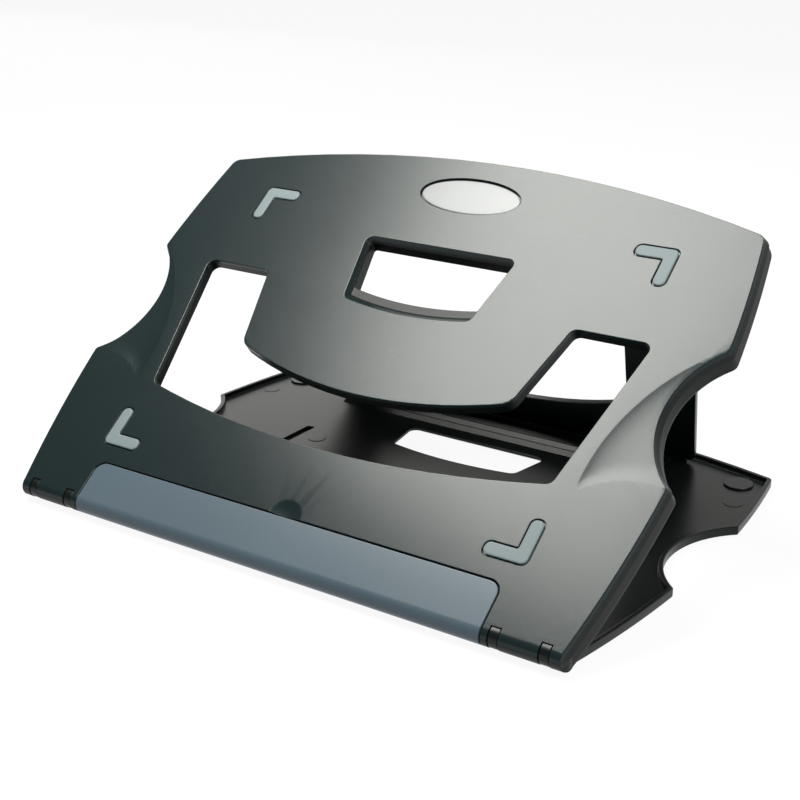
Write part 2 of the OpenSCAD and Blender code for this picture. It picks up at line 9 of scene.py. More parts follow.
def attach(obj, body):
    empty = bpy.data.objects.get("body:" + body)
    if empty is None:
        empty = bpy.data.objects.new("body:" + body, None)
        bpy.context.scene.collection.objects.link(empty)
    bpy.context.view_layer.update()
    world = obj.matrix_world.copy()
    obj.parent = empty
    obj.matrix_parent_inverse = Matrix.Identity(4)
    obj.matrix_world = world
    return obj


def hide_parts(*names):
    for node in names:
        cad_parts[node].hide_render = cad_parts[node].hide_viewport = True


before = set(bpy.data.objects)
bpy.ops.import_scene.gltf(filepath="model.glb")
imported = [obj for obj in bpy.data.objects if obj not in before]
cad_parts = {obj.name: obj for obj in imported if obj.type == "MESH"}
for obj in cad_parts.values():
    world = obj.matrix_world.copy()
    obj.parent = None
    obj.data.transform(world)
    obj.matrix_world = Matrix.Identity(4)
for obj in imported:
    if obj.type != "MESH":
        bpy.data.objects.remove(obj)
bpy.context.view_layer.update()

# ---------------------------------------------------------------- deck plate
# The sloping top of the riser: one injection moulding in charcoal polymer with a fine satin grain.
# A flared rim with two parting lines stiffens it, skirts line its windows, and its front edge rolls
# over the hinge pins. Sizes are drawn in millimetres, then placed in metres on the hinge axis.
mm = 0.001
hinge_axis = Matrix.Translation((0, -0.1173, 0.0071))
deck_angle = math.radians(36.8)
on_deck = hinge_axis @ Matrix.Rotation(deck_angle, 4, "X") @ Matrix.Scale(mm, 4)
half_w = 166.5
deck_l = 241.5
roll_r = 5.4
plate_b = 2.4
rim_b = -6.2
scoop_v = 118.5
scoop_r = 47.0
scoop_deep = 18.2
side_bow = 590.0
back_bow = 590.0
side_c = Vector((half_w - side_bow, scoop_v))
back_c = Vector((0, deck_l - back_bow))
scoop_c = Vector((half_w - scoop_deep + scoop_r, scoop_v))
tip_r = 2.6
corner_r = 5.0
least_r = 0.5
edge_steps = 8
scoop_steps = 28
window_r = 4.0
u_front, u_front_half, u_front_bow = 71, 116, 12.5
u_tip, u_tip_half, u_tip_bow, u_tip_r = 105, 79, 14, 8
u_rear, u_rear_in, u_rear_out = 151, 90.5, 131.2
grip_front, grip_front_w, grip_bow = 144, 75, 3.8
grip_rear, grip_rear_w = 184, 90
grip_low_r = 1.4


def bearing(point, centre):
    return math.atan2(point.y - centre.y, point.x - centre.x)


def arc(centre, radius, start, end, steps):
    angles = [start + (end - start) * i / steps for i in range(steps + 1)]
    return [centre + radius * Vector((math.cos(a), math.sin(a))) for a in angles]


def circle(centre, radius, steps):
    return arc(centre, radius, 0, 2 * math.pi, steps)[:-1]


def crossing(c0, r0, c1, r1, side):
    """Where two circles cross, on the left of the line between their centres if side is 1."""
    along = (c1 - c0).normalized()
    gap = (c1 - c0).length
    reach = (r0 * r0 - r1 * r1 + gap * gap) / (2 * gap)
    rise = math.sqrt(r0 * r0 - reach * reach)
    return c0 + reach * along + side * rise * Vector((-along.y, along.x))


def round_corner(before, corner, after, radius, steps=8):
    u = (before - corner).normalized()
    w = (after - corner).normalized()
    half = math.acos(u.dot(w)) / 2
    centre = corner + (u + w).normalized() * (radius / math.sin(half))
    start = bearing(corner + u * (radius / math.tan(half)), centre)
    end = bearing(corner + w * (radius / math.tan(half)), centre)
    turn = (end - start + 3 * math.pi) % (2 * math.pi) - math.pi
    return arc(centre, radius, start, start + turn, steps)


def mirrored(plan):
    return [Vector((-p.x, p.y)) for p in reversed(plan)]


def flipped_v(plan):
    return [Vector((p.x, -p.y)) for p in reversed(plan)]


def moved(plan, x, v):
    return [p + Vector((x, v)) for p in plan]


def side_x(v, grow):
    return side_c.x + math.sqrt((side_bow + grow) ** 2 - (v - scoop_v) ** 2)


def deck_outline(grow, front_v=0.0):
    """The deck's plan, anticlockwise from its right front corner, grown outwards."""
    side_r = side_bow + grow
    back_r = back_bow + grow
    scoop = scoop_r - grow
    front = crossing(side_c, side_r, scoop_c, scoop, -1)
    rear = crossing(side_c, side_r, scoop_c, scoop, 1)
    back = crossing(side_c, side_r, back_c, back_r, 1)
    start = Vector((side_x(front_v, grow), front_v))
    scoop_start = bearing(front, scoop_c) + 2 * math.pi
    run_a = arc(side_c, side_r, bearing(start, side_c), bearing(front, side_c), edge_steps)
    run_b = arc(scoop_c, scoop, scoop_start, bearing(rear, scoop_c), scoop_steps)
    run_c = arc(side_c, side_r, bearing(rear, side_c), bearing(back, side_c), edge_steps)
    run_d = arc(back_c, back_r, bearing(back, back_c), math.pi / 2, edge_steps)
    tip = max(tip_r + grow, least_r)
    corner = max(corner_r + grow, least_r)
    half = run_a[:-1] + round_corner(run_a[-2], front, run_b[1], tip)
    half += run_b[1:-1] + round_corner(run_b[-2], rear, run_c[1], tip)
    half += run_c[1:-1] + round_corner(run_c[-2], back, run_d[1], corner) + run_d[1:-1]
    middle = [Vector((0, deck_l + grow))]
    return half + middle + mirrored(half)


def grown(plan, distance):
    """An anticlockwise plan moved outwards all round."""
    wider = []
    for i, p in enumerate(plan):
        a = (p - plan[i - 1]).normalized()
        b = (plan[(i + 1) % len(plan)] - p).normalized()
        out = Vector((a.y + b.y, -a.x - b.x))
        wider.append(p + out * (distance / (1 + a.dot(b))))
    return wider


def stack(plan, profile):
    """Rings of one plan, by a profile of (growth, level)."""
    return [(grown(plan, grow), level) for grow, level in profile]


def bow(a, b, height, steps=16):
    """Points of a shallow bow between a and b, standing out to the right of the way from a to b."""
    d = (b - a).normalized()
    out = Vector((d.y, -d.x))
    rises = [height * (1 - (2 * i / steps - 1) ** 2) for i in range(steps)]
    return [a.lerp(b, i / steps) + out * rises[i] for i in range(1, steps)]


def rounded(corners):
    """A closed plan from corners (point, radius)."""
    plan = []
    for i, (point, radius) in enumerate(corners):
        before = corners[i - 1][0]
        after = corners[(i + 1) % len(corners)][0]
        plan += round_corner(before, point, after, radius) if radius else [point]
    return plan


def swept_window(width, front_width, rear, front, bow_h, radius=window_r):
    """A window that narrows to a bowed front edge."""
    a = Vector((-front_width / 2, front))
    b = Vector((front_width / 2, front))
    edge = [(p, 0) for p in bow(a, b, bow_h)]
    back = [(Vector((width / 2, rear)), radius), (Vector((-width / 2, rear)), radius)]
    return rounded([(a, radius), *edge, (b, radius), *back])


def u_window():
    """The window round the deck's tongue, with an arm on each side."""
    a, b = Vector((-u_front_half, u_front)), Vector((u_front_half, u_front))
    c, d = Vector((u_tip_half, u_tip)), Vector((-u_tip_half, u_tip))
    front = [(p, 0) for p in bow(a, b, u_front_bow)]
    tip = [(p, 0) for p in bow(c, d, -u_tip_bow)]
    right = [(Vector((x, u_rear)), window_r) for x in (u_rear_out, u_rear_in)]
    left = [(Vector((-x, u_rear)), window_r) for x in (u_rear_in, u_rear_out)]
    near = [(a, window_r), *front, (b, window_r)]
    return rounded([*near, *right, (c, u_tip_r), *tip, (d, u_tip_r), *left])


def wire(bm, plan, level):
    """A closed ring of edges at one level."""
    verts = [bm.verts.new((p.x, p.y, level)) for p in plan]
    return [bm.edges.new((verts[i - 1], verts[i])) for i in range(len(verts))]


def wall(bm, rings):
    """Extrudes a ring through a pile of rings (plan, level) and gives the first and last ring."""
    first = edges = wire(bm, *rings[0])
    for (below, _), (plan, level) in zip(rings, rings[1:]):
        step = bmesh.ops.extrude_edge_only(bm, edges=edges)["geom"]
        onto = {p.to_tuple(): q for p, q in zip(below, plan)}
        new = {g for g in step if isinstance(g, bmesh.types.BMVert)}
        for vert in new:
            vert.co = (*onto[vert.co.xy.to_tuple()], level)
        edges = [g for g in step if isinstance(g, bmesh.types.BMEdge) and new.issuperset(g.verts)]
    return first, edges


def inside(point, ring):
    """Whether a point lies within a ring of edges, by counting the edges beyond it."""
    odd = False
    for edge in ring:
        p, q = edge.verts[0].co, edge.verts[1].co
        if (p.y > point.y) != (q.y > point.y):
            if point.x < p.x + (q.x - p.x) * (point.y - p.y) / (q.y - p.y):
                odd = not odd
    return odd


def fill(bm, rim, holes=(), net=(), creases=()):
    """Closes the level face inside a ring and round its holes. No operator lays the even net of
    points and the creases that a dished face needs, so it is laid by Delaunay triangles."""
    level = rim[0].verts[0].co.z
    verts, edges, owner = [], [], []
    for number, ring in enumerate((rim, *holes)):
        place = {}
        for vert in (v for edge in ring for v in edge.verts):
            if vert not in place:
                place[vert] = len(verts)
                verts.append(vert)
                owner.append(number)
        edges += [[place[v] for v in edge.verts] for edge in ring]
    for line in (*creases, *([p] for p in net)):
        first = len(verts)
        verts += [bm.verts.new((p.x, p.y, level)) for p in line]
        owner += [-1] * len(line)
        edges += [[first + i, first + i + 1] for i in range(len(line) - 1)]
    made = delaunay_2d_cdt([v.co.xy for v in verts], edges, [], 1, 1e-6)
    for face in made[2]:
        ids = [made[3][i][0] for i in face]
        owners = {owner[i] for i in ids}
        number = owners.pop()
        middle = sum((verts[i].co for i in ids), Vector()) / 3
        if owners or number < 1 or not inside(middle, holes[number - 1]):
            bm.faces.new([verts[i] for i in ids])


def slab(bm, rings):
    """A solid whose first and last rings are closed by level faces."""
    for ring in wall(bm, rings):
        fill(bm, ring)


def bar(bm, section, start, length, side):
    """A bar along x with softened ends, from its cross-section in (v, t)."""
    soft = 0.3
    before = set(bm.verts)
    end = grown(section, -soft)
    for ring in wall(bm, [(end, 0), (section, soft), (section, length - soft), (end, length)]):
        bmesh.ops.edgeloop_fill(bm, edges=ring)
    for vert in set(bm.verts) - before:
        v, t, x = vert.co
        vert.co = (side * (start + x), v, t)


def spun(bm, profile, steps=48, place=None):
    """Adds a closed turned shape about the x axis, from a profile of (x, radius) that starts and
    ends on the axis."""
    turned = bmesh.new()
    verts = [turned.verts.new((x, 0, r)) for x, r in profile]
    edges = [turned.edges.new(pair) for pair in zip(verts, verts[1:])]
    bmesh.ops.spin(
        turned, geom=verts + edges, cent=(0, 0, 0), axis=(1, 0, 0), dvec=(0, 0, 0),
        angle=2 * math.pi, steps=steps, use_merge=True, use_duplicate=False,
    )
    bmesh.ops.remove_doubles(turned, verts=turned.verts, dist=1e-4)
    if place is not None:
        turned.transform(place)
    shell = bpy.data.meshes.new("turned")
    turned.to_mesh(shell)
    turned.free()
    bm.from_mesh(shell)
    bpy.data.meshes.remove(shell)


def rank(p):
    """A number to sort points by."""
    return p.x + 1e3 * p.y + 1e6 * p.z


def outwards(bm):
    """Turns each closed shell outwards, by the sign of its volume, and fixes the order of parts."""
    bmesh.ops.recalc_face_normals(bm, faces=bm.faces)
    left = set(bm.faces)
    while left:
        shell, waiting, volume = [], [left.pop()], 0
        while waiting:
            face = waiting.pop()
            shell.append(face)
            near = left.intersection(f for edge in face.edges for f in edge.link_faces)
            left -= near
            waiting += near
            first, *rest = [v.co for v in face.verts]
            volume += sum(first.dot(a.cross(b)) for a, b in zip(rest, rest[1:]))
        if volume < 0:
            bmesh.ops.reverse_faces(bm, faces=shell)
    bm.verts.sort(key=lambda v: rank(v.co))
    bm.edges.sort(key=lambda e: rank(e.verts[0].co) + rank(e.verts[1].co))
    bm.faces.sort(key=lambda f: rank(f.calc_center_median()))


def body_object(name, bm, place=None):
    """An object from closed shells, with its place in its mesh."""
    outwards(bm)
    mesh = bpy.data.meshes.new(name)
    bm.to_mesh(mesh)
    bm.free()
    if place is not None:
        mesh.transform(place)
    made = bpy.data.objects.new(name, mesh)
    bpy.context.scene.collection.objects.link(made)
    return made


def carve(piece, operation, tools):
    """Joins or cuts a solid with others, one after another, and welds what each step leaves."""
    weld = 0.004
    for tool in tools:
        step = piece.modifiers.new("carve", "BOOLEAN")
        step.operation = operation
        step.solver = "EXACT"
        step.object = tool
        ready = piece.evaluated_get(bpy.context.evaluated_depsgraph_get())
        solid = bpy.data.meshes.new_from_object(ready)
        piece.modifiers.clear()
        bpy.data.objects.remove(tool)
        bm = bmesh.new()
        bm.from_mesh(solid)
        bmesh.ops.remove_doubles(bm, verts=bm.verts, dist=weld)
        bmesh.ops.dissolve_degenerate(bm, edges=bm.edges, dist=weld)
        bm.to_mesh(solid)
        bm.free()
        piece.data = solid


def dress(piece, finish, sharp=34):
    """Smooth shading with crisp edges, and the piece's finish."""
    mesh = piece.data
    mesh.materials.clear()
    mesh.materials.append(finish)
    mesh.polygons.foreach_set("use_smooth", [True] * len(mesh.polygons))
    mesh.set_sharp_from_angle(angle=math.radians(sharp))
    even = piece.modifiers.new("even", "WEIGHTED_NORMAL")
    even.keep_sharp = True


class Mix:
    """A socket of a finish. Arithmetic on it adds Math nodes, and node() adds any other node."""

    def __init__(self, tree, socket=None):
        self.tree = tree
        self.socket = socket

    def node(self, kind, settings, inputs, output=0):
        made = self.tree.nodes.new(kind)
        for name, value in settings.items():
            setattr(made, name, value)
        for name, value in inputs.items():
            if isinstance(value, Mix):
                self.tree.links.new(value.socket, made.inputs[name])
            else:
                made.inputs[name].default_value = value
        return Mix(self.tree, made.outputs[output])

    def maths(self, operation, a, b):
        return self.node("ShaderNodeMath", {"operation": operation}, {0: a, 1: b})

    def __add__(self, other):
        return self.maths("ADD", self, other)

    def __radd__(self, other):
        return self.maths("ADD", other, self)

    def __rsub__(self, other):
        return self.maths("SUBTRACT", other, self)

    def __mul__(self, other):
        return self.maths("MULTIPLY", self, other)

    def __rmul__(self, other):
        return self.maths("MULTIPLY", other, self)

    def tint(self, low, high):
        """A colour between two, by this value."""
        return self.node("ShaderNodeMix", {"data_type": "RGBA"}, {0: self, 6: low, 7: high}, 2)

    def to(self, shader, name):
        self.tree.links.new(self.socket, shader.inputs[name])


def new_finish(name):
    made = bpy.data.materials.new(name)
    made.use_nodes = True
    start = Mix(made.node_tree)
    place = start.node("ShaderNodeTexCoord", {}, {}, "Object")
    return made, made.node_tree.nodes["Principled BSDF"], place


def noise(place, scale, detail=2.0, rough=0.5):
    inputs = {"Vector": place, "Scale": scale, "Detail": detail, "Roughness": rough}
    return place.node("ShaderNodeTexNoise", {}, inputs, "Fac")


def moulded(name, dark, light, rough, grain, gloss=0.28, dull_and_shade=None):
    """Injection-moulded polymer: a fine spark-eroded grain, slow drift of tone, and handling marks.
    Below a level, measured along up, it is duller and painted darker, as painted shade."""
    made, shader, place = new_finish(name)
    drift = noise(place, scale=14, detail=3)
    speck = noise(place, scale=2400, detail=2)
    smear = noise(place, scale=60, detail=4, rough=0.65)
    tone = (drift * 0.6 + speck * 0.4).tint(dark, light)
    sheen = rough - 0.04 + 0.03 * smear + 0.05 * speck
    if dull_and_shade:
        up, level, blend, shade, dull = dull_and_shade
        inputs = {0: place, 1: up}
        height = place.node("ShaderNodeVectorMath", {"operation": "DOT_PRODUCT"}, inputs, "Value")
        inputs = {0: height, 1: 1 / blend, 2: -level / blend}
        clamped = {"operation": "MULTIPLY_ADD", "use_clamp": True}
        smooth = place.node("ShaderNodeMath", clamped, inputs)
        # painted shade: below the level the tone turns to a darker colour
        tone = smooth.tint(shade, tone)
        sheen = sheen + dull * (1 - smooth)
    tone.to(shader, "Base Color")
    sheen.to(shader, "Roughness")
    pits = noise(place, scale=1500, detail=3)
    pits = pits + 0.5 * noise(place, scale=5200, detail=1) + noise(place, scale=420, detail=2)
    inputs = {"Strength": grain, "Distance": 0.0001, "Height": pits}
    place.node("ShaderNodeBump", {}, inputs, "Normal").to(shader, "Normal")
    shader.inputs["Specular IOR Level"].default_value = gloss
    return made


dish_c = Vector((230, 76.5))
dish_r = 103.0
dish_slope = 0.13
dish_reach = 8.5
dish_front_c = Vector((158, 38.5))
dish_front_r = 43.5
dish_ramp = 0.16
dish_blend = 0.6
dish_front, dish_rear, dish_in = 60, 160, 120
finger_v = 20.8
finger_c = Vector((0, finger_v))
finger_r = 9.5
finger_deep = 1.6


def thumb_dish(x, v):
    """Depth of the thumb dish beside a scoop: a hollow with a soft ramp towards the front."""
    x = abs(x)
    in_a = dish_r - (Vector((x, v)) - dish_c).length
    in_b = (Vector((x, v)) - dish_front_c).length - dish_front_r
    if in_a <= 0 or in_b <= 0 or v < dish_front or v > dish_rear or x < dish_in:
        return 0.0
    hollow = dish_slope * dish_reach * (1 - math.exp(-in_a / dish_reach))
    ramp = dish_ramp * in_b
    blend = max(dish_blend - abs(hollow - ramp), 0) / dish_blend
    return max(min(hollow, ramp) - blend * blend * dish_blend / 4, 0.0)


def finger_dish(x, v):
    """Depth of the round dish where a finger lifts the flap."""
    return max(finger_deep * (1 - (x * x + (v - finger_v) ** 2) / finger_r ** 2), 0.0)


u_plan = u_window()
grip_plan = swept_window(grip_rear_w, grip_front_w, grip_rear, grip_front, grip_bow)
pad_w = 6.2
pad_arm = 21.5
pad_r = 2.8
pad_inner_r = 1.2
pad_x = 122.4
pad_front_v = 31.4
pad_rear_v = 204.6
pad_left = rounded([
    (Vector((0, 0)), pad_r), (Vector((0, -pad_arm)), pad_r), (Vector((pad_w, -pad_arm)), pad_r),
    (Vector((pad_w, -pad_w)), pad_inner_r), (Vector((pad_arm, -pad_w)), pad_r),
    (Vector((pad_arm, 0)), pad_r),
])
pad_plans = {
    "front_left": moved(flipped_v(pad_left), -pad_x, pad_front_v),
    "front_right": moved(flipped_v(mirrored(pad_left)), pad_x, pad_front_v),
    "rear_left": moved(pad_left, -pad_x, pad_rear_v),
    "rear_right": moved(mirrored(pad_left), pad_x, pad_rear_v),
}
pad_pocket = 4.2
badge_c = Vector((0, 218.4))
badge_half_w = 29
badge_half_l = 10.8
badge_round = circle(Vector((0, 0)), 1, 72)
badge_plan = [badge_c + Vector((badge_half_w * p.x, badge_half_l * p.y)) for p in badge_round]
badge_pocket = 3.9

# the rim from the top edge down: fillet, upper flare, parting step, lower flare, groove and lip
bm = bmesh.new()
shelf_v = 24.5
rim_rings = [
    (-0.15, 5.4), (0.08, 5.36), (0.25, 5.2), (0.36, 4.95), (1.82, 0.85), (1.88, 0.62), (1.1, 0.5),
    (1.1, -0.1), (1.2, -0.2), (1.98, -4.5), (2.0, -4.65), (1.72, -4.85), (1.72, -5.05),
    (2.0, -5.2), (2.0, -5.95), (1.75, rim_b),
]
shelf_rings = [(-0.15, rim_b), (-0.4, -5.95), (-0.4, plate_b)]
outer = [(deck_outline(grow), t) for grow, t in rim_rings]
inner = [(deck_outline(grow, shelf_v), t) for grow, t in shelf_rings]
deck_top, deck_under = wall(bm, outer + inner)

# the windows, each with a rounded edge and a skirt that hangs below the plate
skirt_t = 1.8
u_rings = [
    (0.7, roll_r), (0.22, 5.28), (0, 4.85), (0, -0.9), (0.3, -1.2), (1.5, -1.2), (skirt_t, -0.9),
    (skirt_t, plate_b),
]
u_top, u_under = wall(bm, stack(u_plan, u_rings))


def grip_ring(inset, ledge, level):
    """A ring of the grip window: its sides lie inside its plan, its front edge further back."""
    slant = (grip_rear_w - grip_front_w) / (grip_rear - grip_front)
    front_w = grip_front_w + slant * ledge - 2 * inset
    rear_w = grip_rear_w - 2 * inset
    front = grip_front + ledge
    return swept_window(rear_w, front_w, grip_rear - inset, front, grip_bow, grip_low_r), level


grip_top, grip_under = wall(bm, [
    (grown(grip_plan, 0.4), roll_r), (grown(grip_plan, 0.1), 5.33), grip_ring(2.2, 3.9, 2.4),
    grip_ring(2.3, 8.4, 2.3), grip_ring(2.4, 8.7, 2.0), grip_ring(2.6, 9.6, -3.3),
    grip_ring(2.3, 9.3, -3.6), (grown(grip_plan, 1.5), -3.6), (grown(grip_plan, skirt_t), -3.3),
    (grown(grip_plan, skirt_t), plate_b),
])
pocket_gap = 0.75
pocket_edge = 1.0
pocket_lip = 5.2
pockets = []
for plan, bed in [(p, pad_pocket) for p in pad_plans.values()] + [(badge_plan, badge_pocket)]:
    side = grown(plan, pocket_gap)
    top, low = wall(bm, [(grown(plan, pocket_edge), roll_r), (side, pocket_lip), (side, bed)])
    fill(bm, low)
    pockets.append(top)

# the creases of the thumb dishes and of the finger dish, and an even net of points inside them
dish_edge = 1.3
dish_end = crossing(side_c, side_bow - dish_edge, dish_c, dish_r, 1)
dish_corner = crossing(dish_c, dish_r, dish_front_c, dish_front_r, -1)
crease_end = bearing(dish_corner, dish_c) % (2 * math.pi)
crease = arc(dish_c, dish_r, bearing(dish_end, dish_c), crease_end, 48)
front_end_x = 162.6
front_end = math.acos((front_end_x - dish_front_c.x) / dish_front_r)
crease += arc(dish_front_c, dish_front_r, bearing(dish_corner, dish_front_c), front_end, 16)[1:]
net_steps = (0.8, 1.8, 3.0, 4.5, 6.3, 8.4, 10.8, 13.5, 16.5, 19.7, 23.0, 26.4, 30.0, 33.6)
net_from, net_to = math.radians(125), math.radians(187)
net_scoop_gap = 1.6
net_side_gap = 1.8
net_least = 0.05
net = []
for step in net_steps:
    for p in arc(dish_c, dish_r - step, net_from, net_to, 50):
        off_scoop = (p - scoop_c).length > scoop_r + net_scoop_gap
        off_side = p.x < side_x(p.y, -net_side_gap)
        if off_scoop and off_side and thumb_dish(p.x, p.y) > net_least:
            net += [p, Vector((-p.x, p.y))]
finger_rings = 6
for i in range(1, finger_rings):
    net += circle(finger_c, finger_r * i / finger_rings, 6 * i)
finger_crease = circle(finger_c, finger_r, 48)
creases = [crease, mirrored(crease), finger_crease]
fill(bm, deck_top, [u_top, grip_top, *pockets], net, creases)
fill(bm, deck_under, [u_under, grip_under])
dished_above = 4.6
lip_below = -4
for vert in bm.verts:
    x, v, t = vert.co
    if t > dished_above:
        vert.co.z = t - thumb_dish(x, v) - finger_dish(x, v)
    if v < 0.01 and t < lip_below:
        vert.co.z = t * roll_r / -rim_b
deck = body_object("deck_moulding", bm)

# the hollow under the front edge, the two rolled ends, the flap's bed and the slots for the lugs
front_half = side_x(0, 0)
hollow_inset = 0.6
hollow_front, hollow_back, hollow_b = -3, 26, -8
bm = bmesh.new()
hollow = [Vector((side_x(v, -hollow_inset), v)) for v in (hollow_front, hollow_back)]
hollow += mirrored(hollow)
slab(bm, [(hollow, hollow_b), (hollow, 0)])
carve(deck, "DIFFERENCE", [body_object("front_hollow", bm)])

flap_half = 117.2
roll_soft = 0.3
end_flare = 1.9
lip_flare = 0.1
lip_t = -4.6
soft_r = 5
turn_from = 0.2
end_profile = rim_rings[:4] + [(1.09, 2.9), (1.82, 0.85), (end_flare, 0.0)]
rolls = []
for side in (1, -1):
    bm = bmesh.new()
    start = [(flap_half, 0), (flap_half, roll_r - roll_soft), (flap_half + roll_soft, roll_r)]
    spun(bm, start + [(front_half + grow, r) for grow, r in end_profile])
    for vert in bm.verts:
        x, v, t = vert.co
        r = math.hypot(v, t)
        if x > front_half - 0.2 and r > 0.1:
            # the end turns from the rim's flared upper half, round the front, to its upright lip
            lower = min(max((turn_from - t / r) / (1 + turn_from), 0), 1)
            flare = end_flare + lip_flare * min(t / lip_t, 1) - max(r - soft_r, 0) ** 2
            vert.co.x = x + (front_half + flare - x) * lower * lower * (3 - 2 * lower)
    bmesh.ops.scale(bm, vec=(side, 1, 1), verts=bm.verts)
    rolls.append(body_object("rolled_end", bm))
carve(deck, "UNION", rolls)

lug_x = (120.8, 144.68)
lug_w = 4.6
slot_gap = 0.4
slot_r = 5.8
bed_front, bed_back, bed_r, bed_b = -7, 21.5, 6.2, 2.45
bm = bmesh.new()
bed = rounded([
    (Vector((-flap_half, bed_front)), 0), (Vector((flap_half, bed_front)), 0),
    (Vector((flap_half, bed_back)), bed_r), (Vector((-flap_half, bed_back)), bed_r),
])
slab(bm, stack(bed, [(0, bed_b), (0, 5.15), (0.35, 5.45), (0.35, 7)]))
cutters = [body_object("flap_bed", bm)]
spans = [(-flap_half, flap_half)]
for x in lug_x:
    spans += [(x - slot_gap, x + lug_w + slot_gap), (-x - lug_w - slot_gap, slot_gap - x)]
for x0, x1 in spans:
    bm = bmesh.new()
    spun(bm, [(x0, 0), (x0, slot_r), (x1, slot_r), (x1, 0)])
    cutters.append(body_object("hinge_slot", bm))
carve(deck, "DIFFERENCE", cutters)

# ears for the prop's pins, moulded on the underside, just clear of the prop's splayed legs
pivot_v = 188.0
pivot_t = -3.15
barrel_r = 2.9
pivot = Matrix.Rotation(deck_angle, 2) @ Vector((pivot_v, pivot_t))
prop_foot = Vector((222.6, -2.75))
prop_l = (pivot - prop_foot).length
splay = math.tan(math.radians(10.5))
foot_half = 112.0
leg_w = 39
leg_out = foot_half + prop_l * splay
leg_in = leg_out - leg_w
ear_w = 4.4
ear_gap = 0.4
ear_top = 3.4
ear_spare = 1.6
ear_in = leg_in - ear_gap - ear_w - (barrel_r + ear_spare) * splay
ear = [Vector((pivot_v + barrel_r, ear_top)), Vector((pivot_v - barrel_r, ear_top))]
ear += arc(Vector((pivot_v, pivot_t)), barrel_r, math.pi, 2 * math.pi, 16)
bm = bmesh.new()
bm.from_mesh(deck.data)
for x0 in (ear_in, leg_out + ear_gap):
    for side in (1, -1):
        bar(bm, ear, x0, ear_w, side)
outwards(bm)
bm.to_mesh(deck.data)
bm.free()
deck.data.transform(on_deck)
# below this level the deck's rim is made duller and painted darker, as painted shade
dull_shade_t = 3.3
deck_up = on_deck.to_3x3().col[2].normalized()
rim_level = deck_up.dot(on_deck @ Vector((0, 0, dull_shade_t)))
rim_dull_and_shade = (deck_up, rim_level, 0.4 * mm, (0.0012, 0.0030, 0.0034, 1), 0.2)
deck_dark, deck_light = (0.0035, 0.010, 0.011, 1), (0.008, 0.015, 0.016, 1)
deck_finish = moulded("charcoal_satin", deck_dark, deck_light, 0.25, 0.12, dull_and_shade=rim_dull_and_shade)
dress(deck, deck_finish, 28)
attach(deck, "deck")
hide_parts("deck_plate")

# ---------------------------------------------------------------- grip pads
# Four L-shaped inlays of soft slate-grey rubber, pressed into pockets near the deck's corners.
# Each has a slightly crowned top that stands just proud, so that the laptop rests on it.
pad_rings = [(0, 4.25), (0, 5.45), (-0.12, 5.62), (-0.4, 5.74), (-1.0, 5.8)]
pad_dark, pad_light = (0.120, 0.152, 0.160, 1), (0.150, 0.185, 0.194, 1)
pad_finish = moulded("slate_rubber", pad_dark, pad_light, 0.55, 0.25)
for name, plan in pad_plans.items():
    bm = bmesh.new()
    slab(bm, stack(plan, pad_rings))
    pad = body_object("pad_" + name, bm, on_deck)
    dress(pad, pad_finish, 50)
    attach(pad, "deck")
    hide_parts("grip_pad_" + name)

# -------------------------------------------------------------- badge plate
# A plain oval of pale polymer, a little domed, glued into its pocket at the deck's back edge.
# Its face is left bare.
badge_rings = [(0, 3.92), (0, 4.4), (-0.2, 4.56), (-0.8, 4.66)]
dome = [badge_c + (p - badge_c) * 0.6 for p in badge_plan]
dome_t = 4.79
bm = bmesh.new()
slab(bm, stack(badge_plan, badge_rings) + [(dome, dome_t)])
badge = body_object("badge_oval", bm, on_deck)
badge_dark, badge_light = (0.195, 0.200, 0.206, 1), (0.214, 0.219, 0.225, 1)
badge_finish = moulded("pale_polymer", badge_dark, badge_light, 0.3, 0.05)
dress(badge, badge_finish, 50)
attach(badge, "deck")
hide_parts("badge_plate")

# ---------------------------------------------------------------- stop flap
# The slate-grey strip along the front edge, moulded with a hooked roll that turns on the pins.
# It lies flush in the deck's bed, and its rear corners are rounded to match.
flap_end = 116.5
flap_back = 20.8
flap_b = 2.6
flap_r = 5.5
hook_r = 3.4
flap_barrel_r = 5.35
flap_barrel_in = 102.5
flap_cap = 0.08
along_x = Matrix(((0, 0, 1, 0), (1, 0, 0, 0), (0, 1, 0, 0), (0, 0, 0, 1)))


def flap_section(x, inset=0.0):
    """The flap's cross-section, with its rear edge drawn in round the corners."""
    over = max(abs(x) - (flap_end - flap_r), 0)
    back = flap_back - flap_r + math.sqrt(max(flap_r ** 2 - over ** 2, 0))
    plate = [
        Vector((back - 0.5, flap_b)), Vector((back, flap_b + 0.4)), Vector((back, 4.75)),
        Vector((back - 0.2, 5.22)), Vector((back - 0.65, roll_r)), Vector((back * 0.5, roll_r)),
    ]
    nose = arc(Vector((0, 0)), roll_r, math.pi / 2, 1.5 * math.pi, 20)
    hook = arc(Vector((0, 0)), hook_r, 1.5 * math.pi, math.radians(130), 16)
    section = plate + nose + hook
    return grown(section, -inset) if inset else section


bm = bmesh.new()
turns = [math.radians(a) for a in (0, 20, 38, 52, 64, 74, 80)]
corner = [flap_end - flap_r + flap_r * math.sin(a) for a in turns]
stations = [-x for x in reversed(corner)] + [-60, 0, 60] + corner
rings = [(flap_section(x), x) for x in stations]
cap_left = (flap_section(-flap_end + flap_cap, 0.3), -flap_end)
cap_right = (flap_section(flap_end - flap_cap, 0.3), flap_end)
for ring in wall(bm, [cap_left, *rings, cap_right]):
    bmesh.ops.edgeloop_fill(bm, edges=ring)
bm.transform(along_x)
flap_barrel = [
    (flap_barrel_in, 0), (flap_barrel_in, flap_barrel_r), (flap_end - 0.5, flap_barrel_r),
    (flap_end - 0.2, 5.1), (flap_end - 0.2, 0),
]
for side in (1, -1):
    spun(bm, flap_barrel, place=Matrix.Diagonal((side, 1, 1, 1)))
flap = body_object("stop_strip", bm, on_deck)
flap_dark, flap_light = (0.050, 0.075, 0.096, 1), (0.066, 0.092, 0.112, 1)
